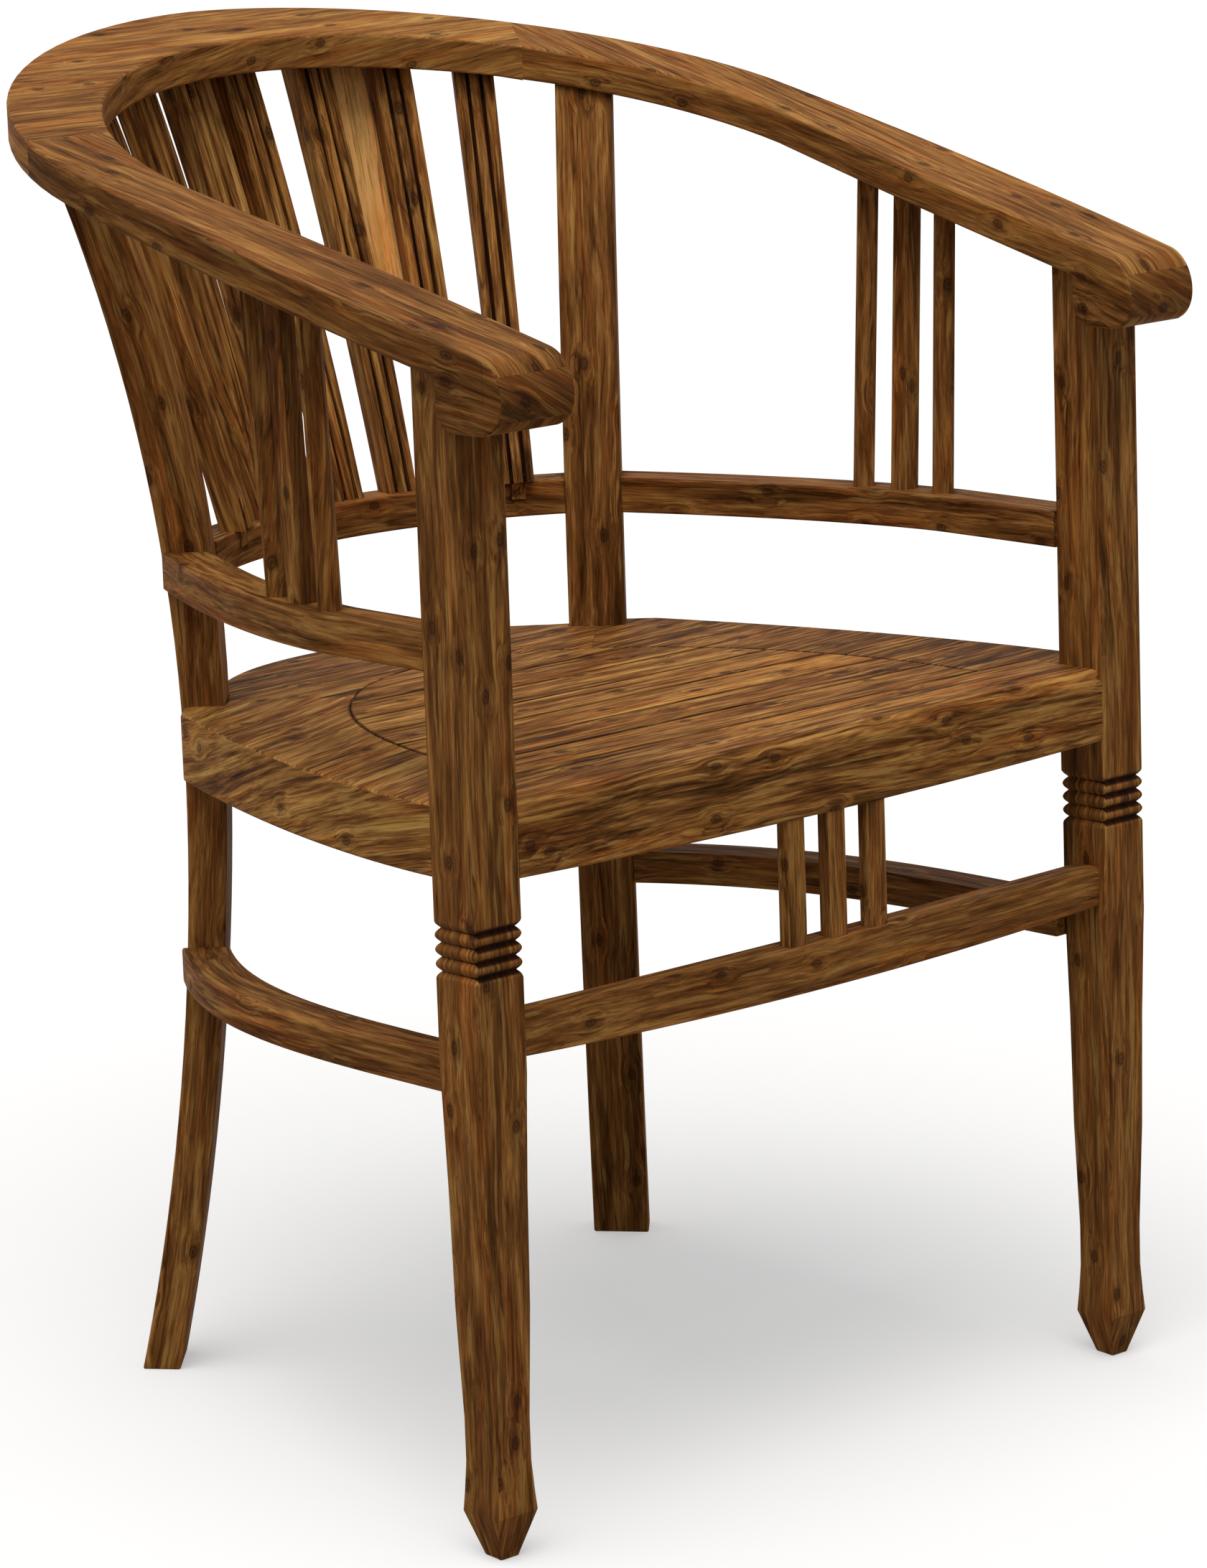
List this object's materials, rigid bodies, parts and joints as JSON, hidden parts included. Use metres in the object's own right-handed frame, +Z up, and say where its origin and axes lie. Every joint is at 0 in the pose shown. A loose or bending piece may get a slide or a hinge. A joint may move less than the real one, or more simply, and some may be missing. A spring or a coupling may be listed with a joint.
{
  "type": "armchair",
  "caption": "Solid teak armchair with a sloping horseshoe rail, fanned back slats, a planked seat, tapered front legs and sabre rear posts; a single seat.",
  "frame": {"origin": "centre of the bounding box's footprint on the floor, under the seat", "axes": "+Z up, the chair faces -Y, +X is the sitter's left"},
  "size_m": [0.5938, 0.6238, 0.8218],
  "materials": {
    "teak_rail": "sanded and thinly oiled teak, streaked grain along the rail, satin",
    "teak_leg": "sanded and thinly oiled teak, upright grain, satin",
    "teak_seat": "sanded and thinly oiled teak, knotted boards, satin",
    "teak_small": "planed and thinly oiled teak, satin",
    "teak_slat": "planed and grooved dark teak heartwood, satin",
    "teak_pale": "planed pale teak sapwood, satin",
    "dowel_wood": "fluted raw hardwood",
    "screw_steel": "zinc plated steel screw"
  },
  "bodies": {
    "root": {"crest_rail": "teak_rail", "arm_right": "teak_rail", "arm_left": "teak_rail", "crest_dowels": "dowel_wood", "front_leg_right": "teak_leg", "front_leg_left": "teak_leg", "rear_post_right": "teak_leg", "rear_post_left": "teak_leg", "seat_front_rail": "teak_seat", "seat_board_right": "teak_seat", "seat_board_left": "teak_seat", "seat_board_back": "teak_seat", "seat_frame_dowels": "dowel_wood", "seat_plank_1": "teak_seat", "seat_plank_2": "teak_seat", "seat_plank_3": "teak_seat", "seat_plank_4": "teak_seat", "seat_plank_5": "teak_seat", "seat_plank_6": "teak_seat", "seat_plank_7": "teak_seat", "seat_cleat_right": "teak_seat", "seat_cleat_left": "teak_seat", "cleat_screws": "screw_steel", "stretcher_front": "teak_small", "stretcher_right": "teak_small", "stretcher_left": "teak_small", "front_spindle_1": "teak_small", "front_spindle_2": "teak_small", "front_spindle_3": "teak_small", "hoop_right": "teak_small", "hoop_left": "teak_small", "hoop_back": "teak_small", "spindle_right_1": "teak_small", "spindle_right_2": "teak_small", "spindle_right_3": "teak_small", "spindle_left_1": "teak_small", "spindle_left_2": "teak_small", "spindle_left_3": "teak_small", "back_slat_1": "teak_slat", "back_slat_2": "teak_slat", "back_slat_3": "teak_slat", "back_slat_4": "teak_slat", "back_slat_5": "teak_slat", "back_slat_6": "teak_slat", "back_slat_7": "teak_slat", "back_slat_plain_1": "teak_pale", "back_slat_plain_2": "teak_pale"}
  },
  "joints": []
}
